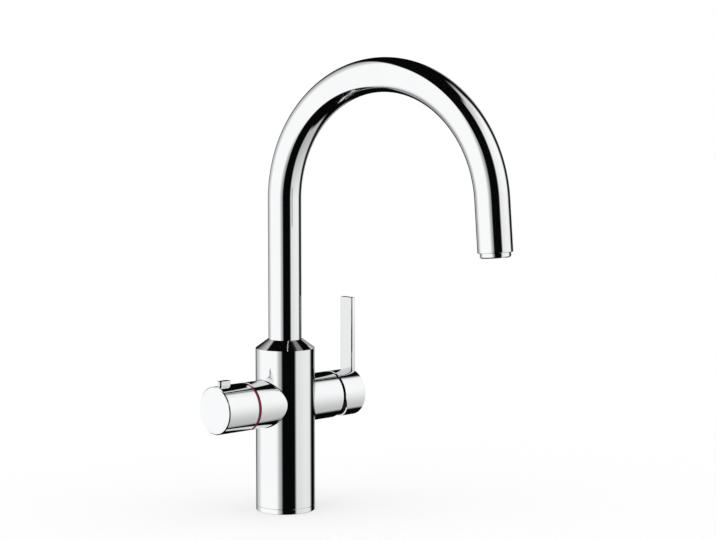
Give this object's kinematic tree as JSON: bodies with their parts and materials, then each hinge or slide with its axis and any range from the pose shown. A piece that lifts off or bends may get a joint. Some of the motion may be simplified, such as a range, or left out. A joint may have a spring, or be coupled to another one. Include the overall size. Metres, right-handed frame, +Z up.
{
  "type": "boiling water tap",
  "caption": "Kitchen tap with a round pillar body, tall swivelling swan-neck spout, child-safe boiling water knob and a tilting mixer lever.",
  "frame": {"origin": "centre of the base's underside, on the worktop's top face", "axes": "+Z up, -Y towards the user, +X towards the mixer lever, -X towards the boiling water knob"},
  "size_m": [0.1519, 0.2489, 0.444],
  "materials": {
    "polished_chrome": "polished chrome plate on brass",
    "bare_brass": "turned brass, unplated",
    "black_rubber": "moulded rubber",
    "stainless_steel": "bright stainless steel",
    "black_steel": "blackened steel",
    "ceramic": "lapped alumina ceramic",
    "white_ptfe": "white low-friction plastic",
    "acetal": "moulded acetal",
    "red_plastic": "deep red moulded plastic"
  },
  "bodies": {
    "tap_body": {"base_ring": "polished_chrome", "base_gasket": "black_rubber", "body": "polished_chrome", "valve_branch": "polished_chrome", "mixer_branch": "polished_chrome", "mounting_shank": "bare_brass", "rubber_washer": "black_rubber", "clamp_washer": "stainless_steel", "fixing_nut": "bare_brass", "jack_screws": "stainless_steel", "shoulder_cap": "polished_chrome", "spout_stop_screw": "black_steel", "lower_glide_ring": "white_ptfe", "upper_glide_ring": "white_ptfe", "valve_housing": "bare_brass", "valve_seal": "black_rubber", "fixed_valve_disc": "ceramic", "stop_ring": "acetal", "red_ring": "red_plastic", "cartridge_housing": "acetal", "cartridge_base": "acetal", "cartridge_seals": "black_rubber", "fixed_mixer_disc": "ceramic", "retaining_nut": "bare_brass"},
    "spout": {"spout_tube": "polished_chrome", "spout_foot": "bare_brass", "spout_o_rings": "black_rubber", "boiling_tube": "white_ptfe", "tube_nipple": "bare_brass", "nipple_o_ring": "black_rubber", "boiling_nozzle": "stainless_steel", "aerator_housing": "polished_chrome", "aerator_insert": "acetal", "aerator_seal": "black_rubber"},
    "boiling_knob": {"knob": "polished_chrome", "valve_spindle": "bare_brass", "turning_valve_disc": "ceramic", "spindle_o_rings": "black_rubber", "spindle_clip": "stainless_steel", "knob_grub_screw": "black_steel", "knob_plug": "polished_chrome", "button_spring": "stainless_steel"},
    "button": {"safety_button": "polished_chrome"},
    "cartridge_turntable": {"cartridge_rotor": "acetal", "stem_pin": "stainless_steel"},
    "mixer_lever": {"cartridge_stem": "stainless_steel", "lever_cap": "polished_chrome", "lever_blade": "polished_chrome", "blade_screw": "stainless_steel", "lever_grub_screw": "black_steel", "lever_plug": "polished_chrome"},
    "mixer_disc": {"sliding_mixer_disc": "ceramic", "disc_carrier": "acetal"}
  },
  "joints": [
    {"name": "spout_swivel", "type": "hinge", "parent": "tap_body", "child": "spout", "pos_m": [0, 0, 0.12], "axis": [0, 0, 1], "range_deg": [-74.54, 55.46]},
    {"name": "knob_turn", "type": "hinge", "parent": "tap_body", "child": "boiling_knob", "pos_m": [-0.06, 0, 0.093], "axis": [1, 0, 0], "range_deg": [0, 90]},
    {"name": "button_press", "type": "slide", "parent": "boiling_knob", "child": "button", "axis": [0, 0, -1], "range_m": [0, 0.0018], "stiffness_N_per_m": 700, "springref_m": -0.0015, "deforming": ["button_spring"]},
    {"name": "lever_turn", "type": "hinge", "parent": "tap_body", "child": "cartridge_turntable", "pos_m": [0.036, 0, 0.093], "axis": [1, 0, 0], "range_deg": [0, 90]},
    {"name": "lever_tilt", "type": "hinge", "parent": "cartridge_turntable", "child": "mixer_lever", "pos_m": [0.036, 0, 0.093], "axis": [0, 1, 0], "range_deg": [0, 20]},
    {"name": "disc_slide", "type": "slide", "parent": "cartridge_turntable", "child": "mixer_disc", "axis": [0, 0, 1], "range_m": [0, 0.0034]}
  ],
  "couplings": [
    {"joint": "disc_slide", "follows": "lever_tilt", "m_per_rad": 0.00955}
  ]
}
